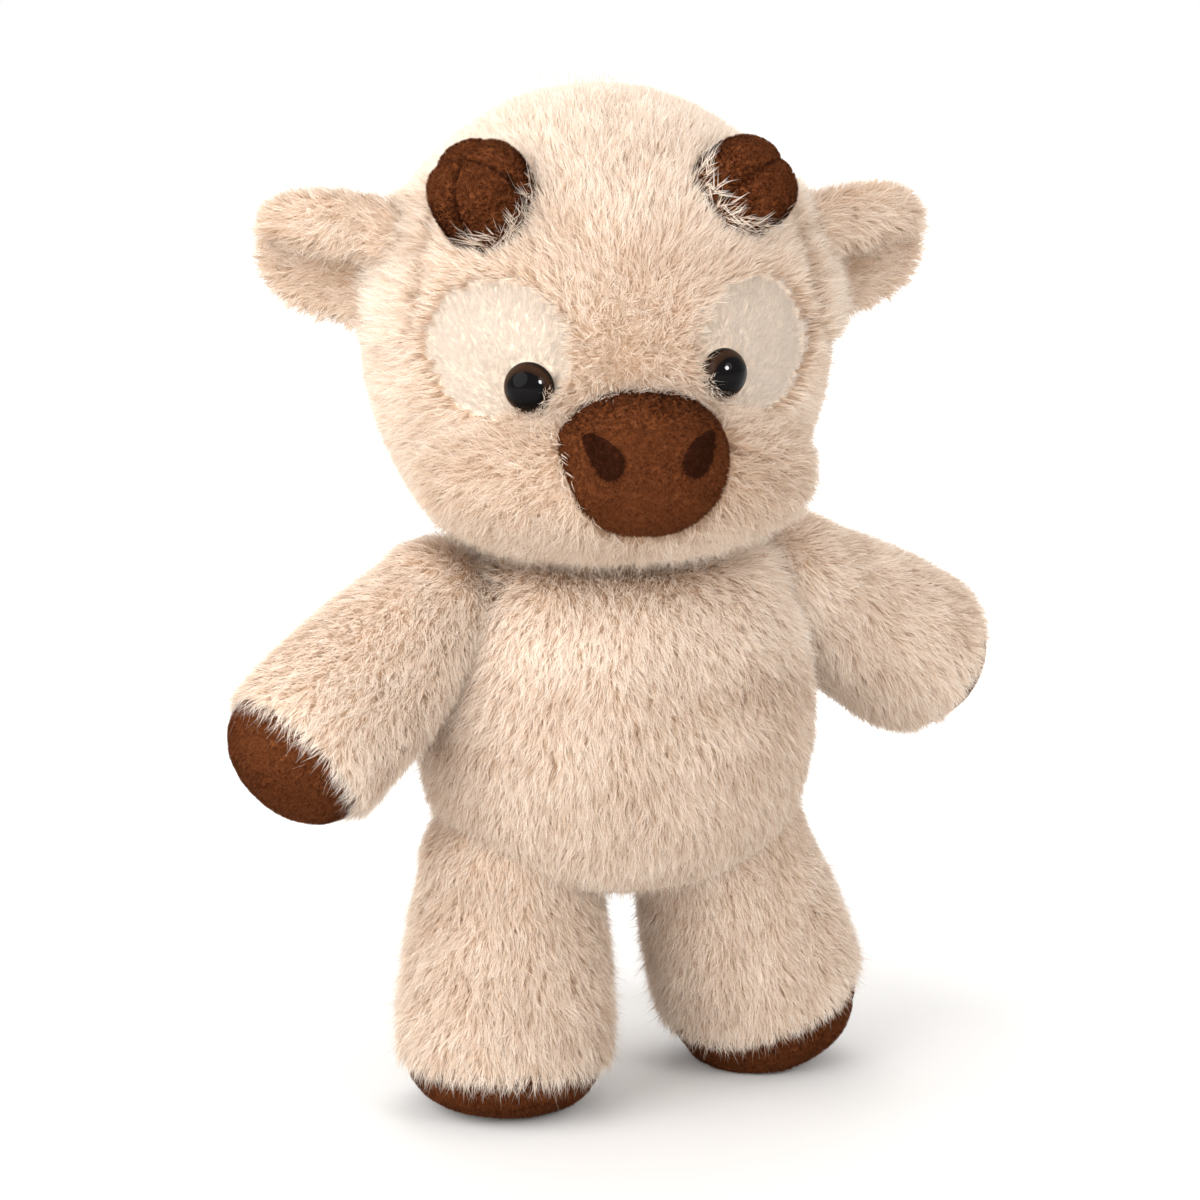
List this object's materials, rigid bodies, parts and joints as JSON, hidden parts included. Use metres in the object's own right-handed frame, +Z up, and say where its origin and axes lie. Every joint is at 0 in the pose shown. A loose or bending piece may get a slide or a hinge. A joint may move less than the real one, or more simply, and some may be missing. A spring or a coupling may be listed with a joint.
{
  "type": "plush cow toy",
  "caption": "Stuffed toy cow standing on its hind feet, in cream long pile with brown nose, short horns and hoof caps, round eye patches, ears, arms, legs and tail.",
  "frame": {"origin": "on the floor under the trunk's axis, at the middle of the toy's outline seen from above", "axes": "+Z up, the toy faces -Y, its left side is +X"},
  "size_m": [0.3216, 0.2117, 0.388],
  "materials": {
    "long_pile": "long soft pile",
    "short_pile": "short smooth pile",
    "brown_pile": "short smooth pile",
    "dark_pile": "short smooth pile",
    "eye_plastic": "polished",
    "washer_plastic": "moulded",
    "stuffing": "loose fibre"
  },
  "bodies": {
    "trunk": {"torso_skin": "long_pile", "torso_fill": "stuffing"},
    "head": {"head_skin": "long_pile", "muzzle_skin": "long_pile", "head_fill": "stuffing", "nose_pad": "brown_pile", "nostril_left": "dark_pile", "nostril_right": "dark_pile", "eye_patch_left": "short_pile", "eye_patch_right": "short_pile", "eye_left": "eye_plastic", "eye_right": "eye_plastic", "eye_washer_left": "washer_plastic", "eye_washer_right": "washer_plastic", "horn_skin_left": "brown_pile", "horn_skin_right": "brown_pile", "horn_fill_left": "stuffing", "horn_fill_right": "stuffing"},
    "ear_left": {"ear_back_left": "long_pile", "ear_front_left": "long_pile"},
    "ear_right": {"ear_back_right": "long_pile", "ear_front_right": "long_pile"},
    "arm_left": {"arm_skin_left": "long_pile", "arm_fill_left": "stuffing", "hand_hoof_left": "brown_pile"},
    "arm_right": {"arm_skin_right": "long_pile", "arm_fill_right": "stuffing", "hand_hoof_right": "brown_pile"},
    "leg_left": {"leg_skin_left": "long_pile", "leg_fill_left": "stuffing", "foot_hoof_left": "brown_pile"},
    "leg_right": {"leg_skin_right": "long_pile", "leg_fill_right": "stuffing", "foot_hoof_right": "brown_pile"},
    "tail": {"tail_tube": "long_pile", "tail_tuft": "long_pile"}
  },
  "joints": [
    {"name": "head_turn", "type": "hinge", "parent": "trunk", "child": "head", "pos_m": [0, 0, 0.2165], "axis": [0, 0, 1], "range_deg": [-25, 30], "stiffness_Nm_per_rad": 0.4},
    {"name": "arm_left_swing", "type": "hinge", "parent": "trunk", "child": "arm_left", "pos_m": [0.07506, 0, 0.1983], "axis": [-1, 0, 0], "range_deg": [-45, 55], "stiffness_Nm_per_rad": 0.3},
    {"name": "arm_right_swing", "type": "hinge", "parent": "trunk", "child": "arm_right", "pos_m": [-0.07506, 0, 0.1983], "axis": [-1, 0, 0], "range_deg": [-45, 55], "stiffness_Nm_per_rad": 0.3},
    {"name": "leg_left_swing", "type": "hinge", "parent": "trunk", "child": "leg_left", "pos_m": [0.0448, 0.0005, 0.0935], "axis": [-1, 0, 0], "range_deg": [-24, 24], "stiffness_Nm_per_rad": 0.6},
    {"name": "leg_right_swing", "type": "hinge", "parent": "trunk", "child": "leg_right", "pos_m": [-0.0448, 0.0005, 0.0935], "axis": [-1, 0, 0], "range_deg": [-24, 24], "stiffness_Nm_per_rad": 0.6},
    {"name": "ear_left_flap", "type": "hinge", "parent": "head", "child": "ear_left", "pos_m": [0.06716, -0.03091, 0.32821], "axis": [0.1029, 0.0182, -0.9945], "range_deg": [-10, 25], "stiffness_Nm_per_rad": 0.05},
    {"name": "ear_right_flap", "type": "hinge", "parent": "head", "child": "ear_right", "pos_m": [-0.09031, 0.00835, 0.32821], "axis": [0.0824, -0.0644, 0.9945], "range_deg": [-10, 25], "stiffness_Nm_per_rad": 0.05},
    {"name": "tail_swing", "type": "hinge", "parent": "trunk", "child": "tail", "pos_m": [0, 0.06289, 0.1255], "axis": [0, 1, 0], "range_deg": [-30, 30], "stiffness_Nm_per_rad": 0.05}
  ]
}
